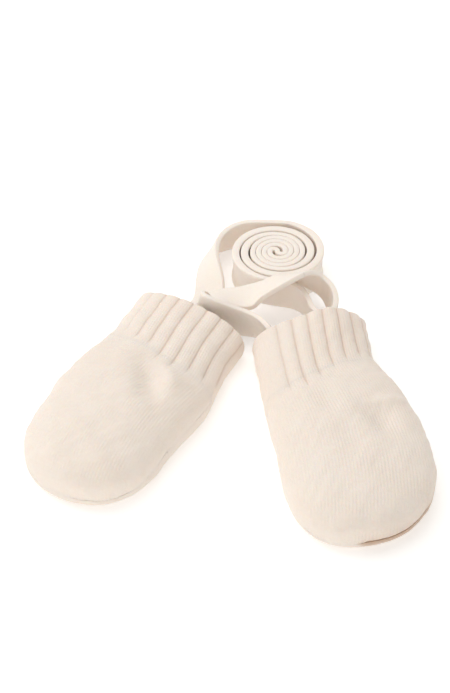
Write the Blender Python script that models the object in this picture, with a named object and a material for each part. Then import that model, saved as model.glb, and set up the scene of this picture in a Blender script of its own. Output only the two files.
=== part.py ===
# A pair of knitted baby mittens, joined by one long flat strap.
#
# Each thumbless mitten is a ribbed cuff and two hand panels, an upper and an
# under one, sewn together round the sides and the tip. The mittens lie on
# their under panels with the cuffs open at the back. The strap runs from one
# cuff to the other, and its middle is folded in two and rolled up on edge.
#
# The layout is worked out in millimetres: x to the right, y away from the
# viewer, z up from the surface that the mittens lie on. Meshes are in metres.

import math

import bmesh
import bpy
import numpy as np
from mathutils import Vector

MM = 0.001
GROUP_NAME = "mittens_pair"

# Middle of the whole pair in the layout. It becomes the origin, on the surface.
LAYOUT_MIDDLE = (1.68, -25.34)

# Cloth and seams
HAND_WALL = 2.5
CUFF_WALL = 3.0
SEAM_GAP = 0.3
SEAM_HEIGHT = 8.5
UNDER_EDGE_ROUNDING = 1.5
TIP_SQUARENESS = 2.4
DENT_EDGE_FADE = 1.6

# Ribs of the cuffs
RIB_COUNT = 18
RIB_RELIEF = 1.1
RIB_PROFILE = ((0.0, 0.0), (0.2, 0.85), (0.4, 1.0), (0.6, 1.0), (0.8, 0.85))
RIB_FADE_HEIGHT = 3.5
CUFF_RINGS = 6
OUTLINE_STEPS = 720

# How finely the hand panels are divided
STRAIGHT_ROWS = 12
TIP_ROWS = 9
UPPER_COLUMNS = 20
UNDER_COLUMNS = 12

# The strap
STRAP_WIDTH = 15.5
STRAP_THICKNESS = 2.4
STRAP_EDGE = 0.8
STRAP_GAP = 0.5
STRAP_LIFT = 0.1
COIL_CENTRE = (25.3, 51.5)
COIL_LAYER = 2.75
COIL_HEART = 1.9

CREAM = (0.90, 0.84, 0.75)
WOOL_ROUGHNESS = 0.95
SHARP_ANGLE = 50.0

# Sections: one row for each, from the cuff's open end to where the tip starts
# to close. Its columns are the distance along the mitten, how far the middle
# lies to the right, half width, height of the crown, slant of the section, and
# roundness, which is 1 for an oval top and less for fuller shoulders.
# Dents: soft hollows and, with a minus, folds that stand up. Their columns are
# the distance along, the distance to the right, depth, long radius, short
# radius, and turn in degrees.
CUFF_END_ROW = 2

RIGHT_MITTEN = {
    "name": "right",
    "place": (39.2, -1.0),
    "turn": 8.0,
    "rib_shift": 0.24,
    "tip_station": 126.4,
    "tip_middle": 0.6,
    "sections": (
        (0.0, -0.4, 27.2, 21.8, -0.13, 1.0),
        (18.0, -1.0, 27.0, 20.5, -0.24, 0.95),
        (36.0, -0.9, 27.1, 20.5, -0.35, 0.85),
        (50.0, 1.8, 29.7, 22.5, -0.25, 0.76),
        (68.0, 4.6, 31.9, 23.5, -0.10, 0.74),
        (84.0, 5.4, 33.1, 22.5, 0.0, 0.78),
    ),
    "dents": (
        (70.5, 17.5, 3.5, 10.5, 7.0, 24.0),
        (60.5, 23.0, -1.4, 9.0, 3.2, 97.0),
        (58.0, -3.0, 1.3, 8.0, 5.0, 20.0),
        (81.0, 3.5, 0.9, 9.0, 6.0, 10.0),
        (1.0, 9.0, -3.0, 13.0, 11.0, 0.0),
    ),
}

LEFT_MITTEN = {
    "name": "left",
    "place": (-14.0, 8.0),
    "turn": -25.0,
    "rib_shift": 0.65,
    "tip_station": 120.5,
    "tip_middle": -4.0,
    "sections": (
        (0.0, -1.2, 29.2, 20.8, 0.14, 1.1),
        (18.0, -1.4, 28.9, 20.5, 0.23, 1.0),
        (38.0, -0.3, 30.3, 21.0, 0.25, 0.85),
        (50.0, -1.7, 31.7, 23.5, 0.16, 0.76),
        (68.0, -3.9, 31.7, 25.0, 0.05, 0.74),
        (82.0, -4.4, 30.8, 24.0, 0.0, 0.78),
    ),
    "dents": (
        (57.5, 5.5, 3.8, 13.0, 6.0, 34.0),
        (54.5, 14.5, -1.4, 9.0, 4.0, 20.0),
        (74.0, -14.0, 0.8, 12.0, 8.0, 0.0),
    ),
}

# One row for each place on a strap run, from where it leaves the roll to its
# end inside a cuff: x, y, how high its lower edge is, and lean in degrees from
# upright, towards the right of the way it runs.
LEFT_RUN = (
    (14.0, 74.7, 0.1, 0.0),
    (7.4, 73.8, 0.1, -3.0),
    (0.5, 70.2, 0.1, -12.0),
    (-4.9, 64.8, 0.1, -23.0),
    (-7.5, 58.5, 0.1, -30.0),
    (-8.2, 52.0, 0.1, -35.0),
    (-7.8, 44.0, 0.1, -46.0),
    (-7.2, 36.5, 0.1, -58.0),
    (-8.0, 29.0, 0.3, -69.0),
    (-11.2, 21.0, 1.6, -80.0),
    (-15.2, 13.0, 3.4, -90.0),
    (-19.0, 4.0, 3.4, -90.0),
    (-23.0, -5.0, 3.4, -90.0),
)

RIGHT_RUN = (
    (26.5, 29.3, 0.1, 0.0),
    (33.0, 27.2, 0.1, 3.0),
    (37.4, 22.6, 0.1, 5.0),
    (39.6, 16.0, 0.1, 5.0),
    (41.2, 9.5, 0.1, 3.0),
    (45.8, 5.4, 0.4, 5.0),
    (50.0, 9.5, 1.0, 8.0),
    (50.6, 17.0, 2.2, 8.0),
    (49.4, 23.6, 3.7, 0.0),
    (45.8, 28.6, 5.4, -14.0),
    (40.6, 29.8, 8.4, -28.0),
    (34.8, 27.4, 14.4, -48.0),
    (28.4, 22.9, 17.4, -61.0),
    (21.3, 20.6, 16.0, -73.0),
    (13.5, 20.8, 11.9, -89.0),
    (8.5, 19.6, 11.4, -91.0),
    (3.0, 20.4, 10.0, -79.0),
    (-3.0, 20.2, 9.0, -69.0),
    (-9.0, 19.4, 6.9, -50.0),
    (-12.8, 16.0, 6.3, -28.0),
    (-12.8, 11.4, 6.3, -10.0),
    (-8.6, 8.6, 6.2, -2.0),
    (-2.0, 8.4, 3.4, 0.0),
    (4.5, 8.4, 0.9, 0.0),
    (10.0, 7.6, 0.1, 3.0),
    (15.8, 5.2, 0.1, 12.0),
    (21.6, 1.6, 1.2, 32.0),
    (27.2, -3.6, 3.5, 60.0),
    (30.0, -11.0, 3.4, 84.0),
    (31.0, -19.0, 3.4, 90.0),
)
ARCH_SHARE = 0.42

# Radius of the rolled strap in its loose outer turns: quarter turns after the
# tight inner ones, radius in the run to the left cuff, and to the right one.
LOOSE_TURNS = (
    (0.0, 13.3, 13.3),
    (1.0, 15.9, 15.9),
    (2.0, 17.4, 17.4),
    (3.0, 20.6, 20.2),
    (4.0, 23.4, 21.3),
)
TIGHT_START = 180.0
TIGHT_END = 810.0
LEFT_RUN_LEAVES = 1155.0
RIGHT_RUN_LEAVES = 1152.0
COIL_STEP = 18.0
RUN_STEP = 2.6
HEART_STEPS = 7
RUN_IN_POINTS = 3
CURVE_STEPS = 12
PLACES_BEYOND = 3


def empty_the_scene():
    for old in list(bpy.data.objects):
        bpy.data.objects.remove(old, do_unlink=True)


def smooth_between(table, columns, where):
    """Value of each column at a place on the first one, on a smooth curve."""
    rows = np.array(table, float)
    xs = rows[:, 0]
    where = float(np.clip(where, xs[0], xs[-1]))
    i = int(np.clip(np.searchsorted(xs, where) - 1, 0, len(xs) - 2))
    gap = xs[i + 1] - xs[i]
    t = (where - xs[i]) / gap
    before = rows[max(i - 1, 0)]
    after = rows[min(i + 2, len(rows) - 1)]
    slope_in = (rows[i + 1] - before) / max(xs[i + 1] - before[0], 1e-9) * gap
    slope_out = (after - rows[i]) / max(after[0] - xs[i], 1e-9) * gap
    value = (
        (2 * t ** 3 - 3 * t ** 2 + 1) * rows[i]
        + (t ** 3 - 2 * t ** 2 + t) * slope_in
        + (3 * t ** 2 - 2 * t ** 3) * rows[i + 1]
        + (t ** 3 - t ** 2) * slope_out
    )
    return [value[c] for c in columns]


def section_at(mitten, station):
    """Middle, half width, crown, slant and roundness of a mitten's section,
    and how open the tip still is: 1 along the hand, 0 at the very end."""
    rows = mitten["sections"]
    tip_start = rows[-1][0]
    middle, half, crown, slant, roundness = smooth_between(rows, (1, 2, 3, 4, 5), station)
    if station <= tip_start:
        return middle, half, crown, slant, roundness, 1.0
    reach = mitten["tip_station"] - tip_start
    t = min((station - tip_start) / reach, 1.0)
    closing = (1.0 - t ** TIP_SQUARENESS) ** (1.0 / TIP_SQUARENESS)
    middle += (mitten["tip_middle"] - middle) * t * t
    return middle, half, crown, slant, roundness, closing


def dent_depth(mitten, along, across):
    total = 0.0
    for at, side, depth, long_radius, short_radius, turn in mitten["dents"]:
        angle = math.radians(turn)
        du = along - at
        dv = across - side
        a = (du * math.cos(angle) + dv * math.sin(angle)) / long_radius
        b = (dv * math.cos(angle) - du * math.sin(angle)) / short_radius
        total += depth * math.exp(-a * a - b * b)
    return total


def mitten_point(mitten, station, angle, inset=0.0, seam_shift=0.0):
    """A point of the mitten's surface, or of one set in by the wall. The
    angle runs round the section: 0 at the right seam, 90 at the crown."""
    seam = SEAM_HEIGHT + seam_shift
    reach = mitten["tip_station"]
    tip_start = mitten["sections"][-1][0]
    middle, half, crown, slant, roundness, closing = section_at(mitten, station)
    if station > tip_start:
        station -= inset * (station - tip_start) / (reach - tip_start)
    cosine = math.cos(angle)
    sine = math.sin(angle)
    off_middle = (half - inset) * closing * cosine
    across = middle + off_middle
    along = station + slant * off_middle
    edge = closing * abs(sine)
    if sine >= 0.0:
        rise = crown - inset - seam
        height = seam + rise * edge ** roundness
        height -= dent_depth(mitten, along, across) * min(1.0, DENT_EDGE_FADE * edge)
    else:
        flatness = min(1.0, UNDER_EDGE_ROUNDING * edge)
        drop = math.sqrt(1.0 - (1.0 - flatness) ** 2)
        height = seam - (seam - inset) * drop
    return Vector((across, -along, height))


def shell_mesh(name, outer, inner, ring):
    """A closed wall between two grids of points with the same rows and
    columns. With ring, each row closes round on itself."""
    mesh = bmesh.new()
    rows = len(outer)
    columns = len(outer[0])
    sides = [[[mesh.verts.new(p * MM) for p in row] for row in grid] for grid in (outer, inner)]
    wide = columns if ring else columns - 1

    def quad(a, b, c, d):
        mesh.faces.new((a, b, c, d))

    for i in range(rows - 1):
        for j in range(wide):
            k = (j + 1) % columns
            out = sides[0]
            back = sides[1]
            quad(out[i][j], out[i + 1][j], out[i + 1][k], out[i][k])
            quad(back[i][k], back[i + 1][k], back[i + 1][j], back[i][j])
    for j in range(wide):
        k = (j + 1) % columns
        first = [grid[0] for grid in sides]
        last = [grid[-1] for grid in sides]
        quad(first[0][j], first[0][k], first[1][k], first[1][j])
        quad(last[0][k], last[0][j], last[1][j], last[1][k])
    if not ring:
        for i in range(rows - 1):
            for j, flip in ((0, False), (columns - 1, True)):
                corners = [sides[0][i][j], sides[1][i][j], sides[1][i + 1][j], sides[0][i + 1][j]]
                if flip:
                    corners.reverse()
                quad(*corners)
    bmesh.ops.remove_doubles(mesh, verts=mesh.verts, dist=1e-7)
    bmesh.ops.dissolve_degenerate(mesh, edges=mesh.edges, dist=1e-7)
    bmesh.ops.recalc_face_normals(mesh, faces=mesh.faces)
    data = bpy.data.meshes.new(name)
    mesh.to_mesh(data)
    mesh.free()
    data.shade_smooth()
    data.set_sharp_from_angle(angle=math.radians(SHARP_ANGLE))
    return data


def add_part(name, data, parent, place=None, turn=0.0):
    """One named object with its own material, set down at its place."""
    item = bpy.data.objects.new(name, data)
    material = bpy.data.materials.new(name + "_wool")
    material.use_nodes = True
    shader = material.node_tree.nodes["Principled BSDF"]
    shader.inputs["Base Color"].default_value = (*CREAM, 1.0)
    shader.inputs["Roughness"].default_value = WOOL_ROUGHNESS
    shader.inputs["Metallic"].default_value = 0.0
    data.materials.append(material)
    bpy.data.collections[GROUP_NAME].objects.link(item)
    item.parent = parent
    if place:
        item.location = (place[0] * MM, place[1] * MM, 0.0)
    item.rotation_euler.z = math.radians(turn)
    return item


def hand_stations(mitten):
    """Rows of the hand: even along it, and closing in towards the tip."""
    start = mitten["sections"][CUFF_END_ROW][0] + SEAM_GAP
    tip_start = mitten["sections"][-1][0]
    reach = mitten["tip_station"] - tip_start
    straight = [start + (tip_start - start) * i / STRAIGHT_ROWS for i in range(STRAIGHT_ROWS)]
    closing = [tip_start + reach * math.sin(math.pi / 2 * i / TIP_ROWS) for i in range(TIP_ROWS + 1)]
    return straight + closing


def hand_panel(mitten, which, columns, first_angle, last_angle, seam_shift, parent):
    outer = []
    inner = []
    for station in hand_stations(mitten):
        angles = [first_angle + (last_angle - first_angle) * j / columns for j in range(columns + 1)]
        outer.append([mitten_point(mitten, station, a, 0.0, seam_shift) for a in angles])
        inner.append([mitten_point(mitten, station, a, HAND_WALL, seam_shift) for a in angles])
    name = mitten["name"] + "_hand_" + which
    data = shell_mesh(name, outer, inner, False)
    return add_part(name, data, parent, mitten["place"], mitten["turn"])


def rib_angles(mitten, station):
    """Angles round the section that are spaced evenly along its outline, so
    that the ribs are all as wide, starting at the crown."""
    angles = [math.pi / 2 + 2 * math.pi * i / OUTLINE_STEPS for i in range(OUTLINE_STEPS + 1)]
    points = [mitten_point(mitten, station, a) for a in angles]
    lengths = [0.0]
    for a, b in zip(points, points[1:]):
        lengths.append(lengths[-1] + (b - a).length)
    wanted = []
    for rib in range(RIB_COUNT):
        for part, height in RIB_PROFILE:
            wanted.append((((rib + part + mitten["rib_shift"] + 0.5) / RIB_COUNT) % 1.0, height))
    return [(float(np.interp(w * lengths[-1], lengths, angles)), h) for w, h in wanted]


def cuff(mitten, parent):
    outer = []
    inner = []
    end = mitten["sections"][CUFF_END_ROW][0]
    for ring in range(CUFF_RINGS + 1):
        station = end * ring / CUFF_RINGS
        outside = []
        inside = []
        for angle, height in rib_angles(mitten, station):
            crest = mitten_point(mitten, station, angle)
            plain = mitten_point(mitten, station, angle, CUFF_WALL)
            inward = (plain - crest).normalized()
            fade = min(1.0, crest.z / RIB_FADE_HEIGHT)
            groove = crest + inward * RIB_RELIEF * (1.0 - height) * fade
            outside.append(groove)
            inside.append(plain)
        outer.append(outside)
        inner.append(inside)
    name = mitten["name"] + "_cuff"
    data = shell_mesh(name, outer, inner, True)
    return add_part(name, data, parent, mitten["place"], mitten["turn"])


def smooth_route(rows):
    """Places close together along a strap run, on one smooth curve."""
    rows = [Vector(r) for r in rows]
    ends = [rows[0] * 2 - rows[1]] + rows + [rows[-1] * 2 - rows[-2]]
    fine = []
    for a, b, c, d in zip(ends, ends[1:], ends[2:], ends[3:]):
        for i in range(CURVE_STEPS):
            t = i / CURVE_STEPS
            point = (
                b * 2
                + (c - a) * t
                + (a * 2 - b * 5 + c * 4 - d) * t * t
                + (b * 3 - a - c * 3 + d) * t * t * t
            ) * 0.5
            fine.append(point)
    fine.append(rows[-1])
    return fine


def part_of_route(fine, start, end):
    """Places about a step apart on part of a route, between two lengths, with
    one more beyond each end, which only gives the strap its direction there."""
    lengths = [0.0]
    for a, b in zip(fine, fine[1:]):
        lengths.append(lengths[-1] + (b - a).xy.length)
    if end is None:
        end = lengths[-1]
    count = round((end - start) / RUN_STEP)
    step = (end - start) / count
    wanted = [start + step * i for i in range(-1, count + 2)]
    table = np.array([list(p) for p in fine])
    places = [Vector([np.interp(w, lengths, table[:, c]) for c in range(4)]) for w in wanted]
    if wanted[-1] > lengths[-1]:
        places[-1] = places[-2] * 2 - places[-3]
    return places


def strap_section():
    """Outline of the flat strap: a slim oblong with its corners taken off."""
    half = STRAP_WIDTH / 2
    thin = STRAP_THICKNESS / 2
    e = STRAP_EDGE
    quarter = [(half, thin - e), (half - e, thin)]
    mirror = [(-a, b) for a, b in reversed(quarter)]
    top = quarter + mirror
    return top + [(-a, -b) for a, b in top]


def strap_centre(place):
    """Middle of the strap at a place, from the height of its lower edge."""
    lean = math.radians(place[3])
    half_height = STRAP_WIDTH / 2 * abs(math.cos(lean)) + STRAP_THICKNESS / 2 * abs(math.sin(lean))
    return Vector((place[0], place[1], place[2] + half_height))


def strap_frames(route):
    """The two directions of the strap's section at each place of a route but
    those beyond its ends: across its width, and through its thickness."""
    frames = []
    centres = [strap_centre(place) for place in route]
    for before, place, after in zip(centres, route[1:], centres[2:]):
        along = (after - before).normalized()
        upward = Vector((0, 0, 1))
        upward = (upward - along * upward.dot(along)).normalized()
        right = along.cross(upward)
        lean = math.radians(place[3])
        width = upward * math.cos(lean) + right * math.sin(lean)
        frames.append((width, along.cross(width)))
    return frames


def strap_mesh(name, route):
    """Sweep the strap's section along a route and close both ends."""
    mesh = bmesh.new()
    loops = []
    for place, (width, through) in zip(route[1:], strap_frames(route)):
        centre = strap_centre(place)
        ring = [mesh.verts.new((centre + width * a + through * b) * MM) for a, b in strap_section()]
        loops.append(ring)
    for first, second in zip(loops, loops[1:]):
        for j in range(len(first)):
            k = (j + 1) % len(first)
            mesh.faces.new((first[j], first[k], second[k], second[j]))
    mesh.faces.new(list(reversed(loops[0])))
    mesh.faces.new(loops[-1])
    bmesh.ops.recalc_face_normals(mesh, faces=mesh.faces)
    data = bpy.data.meshes.new(name)
    mesh.to_mesh(data)
    mesh.free()
    data.shade_smooth()
    data.set_sharp_from_angle(angle=math.radians(SHARP_ANGLE))
    return data


def coil_radius(turned, arm):
    """Radius of the rolled strap after a number of degrees from its heart."""
    if turned <= TIGHT_END:
        quarters = (turned - TIGHT_START) / 90.0
        tight_quarters = (TIGHT_END - TIGHT_START) / 90.0
        start = LOOSE_TURNS[0][1] - tight_quarters * COIL_LAYER / 2
        return start + quarters * COIL_LAYER / 2
    return smooth_between(LOOSE_TURNS, (arm,), (turned - TIGHT_END) / 90.0)[0]


def coil_arm(arm, leaves, flip):
    """Half of the rolled strap, from the fold at its heart outwards."""
    points = []
    for i in range(HEART_STEPS):
        angle = math.radians(TIGHT_START * i / HEART_STEPS)
        points.append((COIL_HEART * (math.cos(angle) - 1.0), COIL_HEART * math.sin(angle)))
    steps = round((leaves - TIGHT_START) / COIL_STEP)
    for i in range(steps + 1):
        turned = TIGHT_START + (leaves - TIGHT_START) * i / steps
        radius = coil_radius(turned, arm)
        angle = math.radians(turned)
        points.append((radius * math.cos(angle), radius * math.sin(angle)))
    sign = -1.0 if flip else 1.0
    places = [(COIL_CENTRE[0] + sign * x, COIL_CENTRE[1] + sign * y) for x, y in points]
    return [Vector((x, y, STRAP_LIFT, 0.0)) for x, y in places]


def run_route(arm, rows):
    """A strap run on one smooth curve with the roll that it comes out of, and
    the length along that curve at which it leaves the roll."""
    roll = arm[-RUN_IN_POINTS:]
    fine = smooth_route(roll + list(rows))
    steps = (len(roll) - 1) * CURVE_STEPS
    return fine, sum((b - a).xy.length for a, b in zip(fine[:steps], fine[1:steps + 1]))


def make_strap(parent):
    left_arm = coil_arm(1, LEFT_RUN_LEAVES, False)
    right_arm = coil_arm(2, RIGHT_RUN_LEAVES, True)
    left, left_start = run_route(left_arm, LEFT_RUN)
    right, right_start = run_route(right_arm, RIGHT_RUN)
    right_length = sum((b - a).xy.length for a, b in zip(right, right[1:]))
    split = right_start + (right_length - right_start) * ARCH_SHARE
    left_run = part_of_route(left, left_start + STRAP_GAP, None)
    arch = part_of_route(right, right_start + STRAP_GAP, split)
    roll = list(reversed(left_arm)) + right_arm[1:]
    parts = {
        "strap_coil": [left_run[PLACES_BEYOND]] + roll + [arch[PLACES_BEYOND]],
        "strap_left_run": left_run,
        "strap_right_arch": arch,
        "strap_right_return": part_of_route(right, split + STRAP_GAP, None),
    }
    for name, route in parts.items():
        centres = [strap_centre(place) for place in route[1:-1]]
        length = sum((b - a).length for a, b in zip(centres, centres[1:]))
        print(name, "is", round(length), "mm long")
        add_part(name, strap_mesh(name, route), parent)


def make_mitten(mitten, parent):
    cuff(mitten, parent)
    hand_panel(mitten, "upper", UPPER_COLUMNS, 0.0, math.pi, SEAM_GAP / 2, parent)
    hand_panel(mitten, "under", UNDER_COLUMNS, math.pi, 2 * math.pi, -SEAM_GAP / 2, parent)


def main():
    empty_the_scene()
    group = bpy.data.collections.new(GROUP_NAME)
    bpy.context.scene.collection.children.link(group)
    base = bpy.data.objects.new("base", None)
    group.objects.link(base)
    base.location = (-LAYOUT_MIDDLE[0] * MM, -LAYOUT_MIDDLE[1] * MM, 0.0)
    make_mitten(LEFT_MITTEN, base)
    make_mitten(RIGHT_MITTEN, base)
    make_strap(base)
    bpy.context.view_layer.update()


main()
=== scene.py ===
# %% [markdown]
# # A pair of knitted baby mittens on a strap
# Two thumbless mittens of cream wool lie on a pale table. Each has a ribbed cuff
# and two hand panels of plain knit, sewn together down the sides and round the
# tip. One long knitted band joins the cuffs, so that a child can't lose one.
# Its middle is folded in two and rolled up between them.
#
# The plain solids of the pieces come first, as a frame that is never moved.
# Each piece below is then made again as knitted cloth on the same form.

# %% Load the frame
import math

import bmesh
import bpy
import numpy as np
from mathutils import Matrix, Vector


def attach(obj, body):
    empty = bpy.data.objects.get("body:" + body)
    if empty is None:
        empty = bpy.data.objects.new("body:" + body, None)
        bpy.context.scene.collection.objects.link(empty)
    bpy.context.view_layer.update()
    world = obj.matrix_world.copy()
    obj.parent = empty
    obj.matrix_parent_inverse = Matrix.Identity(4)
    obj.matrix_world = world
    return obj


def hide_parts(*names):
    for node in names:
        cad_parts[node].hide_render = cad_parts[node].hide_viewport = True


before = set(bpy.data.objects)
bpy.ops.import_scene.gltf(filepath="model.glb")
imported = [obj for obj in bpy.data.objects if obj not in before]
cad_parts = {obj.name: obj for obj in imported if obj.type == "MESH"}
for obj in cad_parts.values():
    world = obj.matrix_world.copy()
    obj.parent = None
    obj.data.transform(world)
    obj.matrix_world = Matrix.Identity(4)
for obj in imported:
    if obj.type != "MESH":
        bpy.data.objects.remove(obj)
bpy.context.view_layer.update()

MM = 0.001
print("nodes to dress:", ", ".join(sorted(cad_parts)))

# %% [markdown]
# ## Where the camera stands
# The view looks down at the mittens from the side of the finger tips, at 42
# degrees above the table. The lens is long, so that near and far ribs look
# almost equally wide. The camera could be aimed by hand, but it is simpler to
# turn the angle and the distance into a place, and to keep both as numbers.

# %% Camera
CAMERA_HEIGHT_ANGLE = 42.0
CAMERA_DISTANCE = 837.0
FRAME_TALL_PIXELS = 693
PIXELS_PER_MM = 2.15
SENSOR = 36.0
VIEW_REACH = 10.0
PAIR_MIDDLE = (1.68, -25.34)


def make_camera():
    tilt = math.radians(CAMERA_HEIGHT_ANGLE)
    lens = bpy.data.cameras.new("camera")
    lens.sensor_width = SENSOR
    lens.sensor_fit = "AUTO"
    lens.lens = SENSOR * CAMERA_DISTANCE * PIXELS_PER_MM / FRAME_TALL_PIXELS
    lens.clip_end = VIEW_REACH
    camera = bpy.data.objects.new("camera", lens)
    back = CAMERA_DISTANCE * math.cos(tilt)
    above = CAMERA_DISTANCE * math.sin(tilt)
    camera.location = Vector((-PAIR_MIDDLE[0], -PAIR_MIDDLE[1] - back, above)) * MM
    camera.rotation_euler = (math.pi / 2 - tilt, 0.0, 0.0)
    bpy.context.scene.collection.objects.link(camera)
    bpy.context.scene.camera = camera
    print("lens", round(lens.lens, 2), "mm, camera at", [round(c, 3) for c in camera.location])


make_camera()

# %% [markdown]
# ## The form of a mitten
# A filled-out mitten is a soft tube that closes at the tip. It could be carved
# from a ball, but a knitter thinks in rows: how wide the mitten is after so many
# centimetres, and how high it stands. So the form is a short table of sections,
# and a smooth curve runs through them. Dents are soft hollows, and a minus
# depth is a fold or a swelling that stands up.

# %% Sizes of the mittens, in millimetres
HAND_WALL = 2.5
CUFF_WALL = 3.0
SEAM_HEIGHT = 8.5
UNDER_EDGE_ROUNDING = 1.5
TIP_SQUARENESS = 2.4
DENT_EDGE_FADE = 1.6

# The columns of the sections are distance along, middle, half width, height of
# the crown, slant, and roundness, where less makes the top flatter.
RIGHT_MITTEN = {
    "name": "right",
    "place": (39.2, -1.0),
    "turn": 8.0,
    "rib_shift": 0.24,
    "tip_station": 126.4,
    "tip_middle": 0.6,
    "sections": (
        (0.0, -0.4, 27.2, 21.8, -0.13, 1.0),
        (18.0, -1.0, 27.0, 20.5, -0.24, 0.95),
        (36.0, -0.9, 27.1, 20.5, -0.35, 0.85),
        (50.0, 1.8, 29.7, 22.5, -0.25, 0.76),
        (68.0, 4.6, 31.9, 23.5, -0.10, 0.74),
        (84.0, 5.4, 33.1, 22.5, 0.0, 0.78),
    ),
    # Columns: distance along, across, depth, long radius, short radius, turn
    # in degrees
    "dents": (
        (70.5, 17.5, 3.5, 10.5, 7.0, 24.0),
        (60.5, 23.0, -1.4, 9.0, 3.2, 97.0),
        (58.0, -3.0, 1.3, 8.0, 5.0, 20.0),
        (81.0, 3.5, 0.9, 9.0, 6.0, 10.0),
        (1.0, 9.0, -3.0, 13.0, 11.0, 0.0),
    ),
    # How far the tip seam lies under the widest line
    "seam_dip": 4.6,
    # Where that seam gapes, from and to as shares across, and how deep, which
    # also sets how much painted shade lies round it
    "gape": (-0.05, 0.94, 1.1),
    # The grooves on top from left to right: where each fades out on the hand,
    # and its share of the full depth
    "grooves": (
        (34.0, 0.2),
        (36.0, 0.15),
        (39.8, 0.8),
        (42.2, 1.0),
        (39.4, 1.0),
        (36.8, 1.0),
        (33.8, 1.0),
        (33.2, 1.0),
        (34.0, 1.0),
        (35.0, 0.8),
        (34.0, 0.6),
    ),
}

LEFT_MITTEN = {
    "name": "left",
    "place": (-14.0, 8.0),
    "turn": -25.0,
    "rib_shift": 0.65,
    "tip_station": 120.5,
    "tip_middle": -4.0,
    "sections": (
        (0.0, -1.2, 29.2, 20.8, 0.14, 1.1),
        (18.0, -1.4, 28.9, 20.5, 0.23, 1.0),
        (38.0, -0.3, 30.3, 21.0, 0.25, 0.85),
        (50.0, -1.7, 31.7, 23.5, 0.16, 0.76),
        (68.0, -3.9, 31.7, 25.0, 0.05, 0.74),
        (82.0, -4.4, 30.8, 24.0, 0.0, 0.78),
    ),
    "dents": (
        (57.5, 5.5, 3.8, 13.0, 6.0, 34.0),
        (54.5, 14.5, -1.4, 9.0, 4.0, 20.0),
        (74.0, -14.0, 0.8, 12.0, 8.0, 0.0),
    ),
    "seam_dip": 3.6,
    "gape": (0.4, 0.95, 0.12),
    "grooves": (
        (33.0, 0.2),
        (34.0, 0.5),
        (35.2, 0.9),
        (35.2, 1.0),
        (40.0, 1.0),
        (42.0, 1.0),
        (37.6, 1.0),
        (35.6, 1.0),
        (31.0, 0.9),
        (31.0, 0.8),
        (31.0, 0.6),
    ),
}
CUFF_END_ROW = 2
print("sections to each mitten:", len(RIGHT_MITTEN["sections"]), len(LEFT_MITTEN["sections"]))

# %% The surface of a mitten
def curve_value(table, column, where):
    """One column of a table at many places on its first, on a smooth curve."""
    rows = np.array(table, float)
    xs = rows[:, 0]
    ys = rows[:, column]
    where = np.clip(where, xs[0], xs[-1])
    i = np.clip(np.searchsorted(xs, where) - 1, 0, len(xs) - 2)
    before = np.maximum(i - 1, 0)
    after = np.minimum(i + 2, len(xs) - 1)
    gap = xs[i + 1] - xs[i]
    t = (where - xs[i]) / gap
    slope_in = (ys[i + 1] - ys[before]) / (xs[i + 1] - xs[before]) * gap
    slope_out = (ys[after] - ys[i]) / (xs[after] - xs[i]) * gap
    start = (2 * t ** 3 - 3 * t ** 2 + 1) * ys[i] + (t ** 3 - 2 * t ** 2 + t) * slope_in
    return start + (3 * t ** 2 - 2 * t ** 3) * ys[i + 1] + (t ** 3 - t ** 2) * slope_out


def tip_opening(mitten, station):
    """How open the tip still is: 1 along the hand, 0 at the very end."""
    tip_start = mitten["sections"][-1][0]
    reach = mitten["tip_station"] - tip_start
    t = np.clip((station - tip_start) / reach, 0.0, 1.0)
    return (1.0 - t ** TIP_SQUARENESS) ** (1.0 / TIP_SQUARENESS)


def dent_depth(mitten, along, across):
    total = np.zeros_like(along)
    for at, side, depth, long_radius, short_radius, turn in mitten["dents"]:
        angle = math.radians(turn)
        du = along - at
        dv = across - side
        a = (du * math.cos(angle) + dv * math.sin(angle)) / long_radius
        b = (dv * math.cos(angle) - du * math.sin(angle)) / short_radius
        total += depth * np.exp(-a * a - b * b)
    return total


def mitten_surface(mitten, station, share, upper, inset=0.0):
    """Points of the mitten's form. Share runs from -1 at the left seam to 1 at
    the right one, and upper says which points are on the upper side."""
    rows = mitten["sections"]
    tip_start = rows[-1][0]
    reach = mitten["tip_station"] - tip_start
    middle, half, crown, slant, roundness = (curve_value(rows, c, station) for c in range(1, 6))
    t = np.clip((station - tip_start) / reach, 0.0, 1.0)
    opening = tip_opening(mitten, station)
    middle = middle + (mitten["tip_middle"] - middle) * t * t
    off_middle = (half - inset) * share
    across = middle + off_middle
    along = station - inset * t + slant * off_middle
    edge = np.sqrt(np.maximum(opening ** 2 - share ** 2, 0.0))
    rise = crown - inset - SEAM_HEIGHT
    top = SEAM_HEIGHT + rise * edge ** roundness
    top -= dent_depth(mitten, along, across) * np.minimum(1.0, DENT_EDGE_FADE * edge)
    flatness = np.minimum(1.0, UNDER_EDGE_ROUNDING * edge)
    under = SEAM_HEIGHT - (SEAM_HEIGHT - inset) * np.sqrt(1.0 - (1.0 - flatness) ** 2)
    return np.stack([across, -along, np.where(upper, top, under)], axis=-1)


def set_down(mitten, points):
    """Turn and move points from the mitten's own frame to the pair's frame."""
    turn = math.radians(mitten["turn"])
    x = points[..., 0] * math.cos(turn) - points[..., 1] * math.sin(turn)
    y = points[..., 0] * math.sin(turn) + points[..., 1] * math.cos(turn)
    x = x + mitten["place"][0] - PAIR_MIDDLE[0]
    y = y + mitten["place"][1] - PAIR_MIDDLE[1]
    return np.stack([x, y, points[..., 2]], axis=-1)


for one in (RIGHT_MITTEN, LEFT_MITTEN):
    print(one["name"], "mitten is", one["tip_station"], "mm long")

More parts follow.
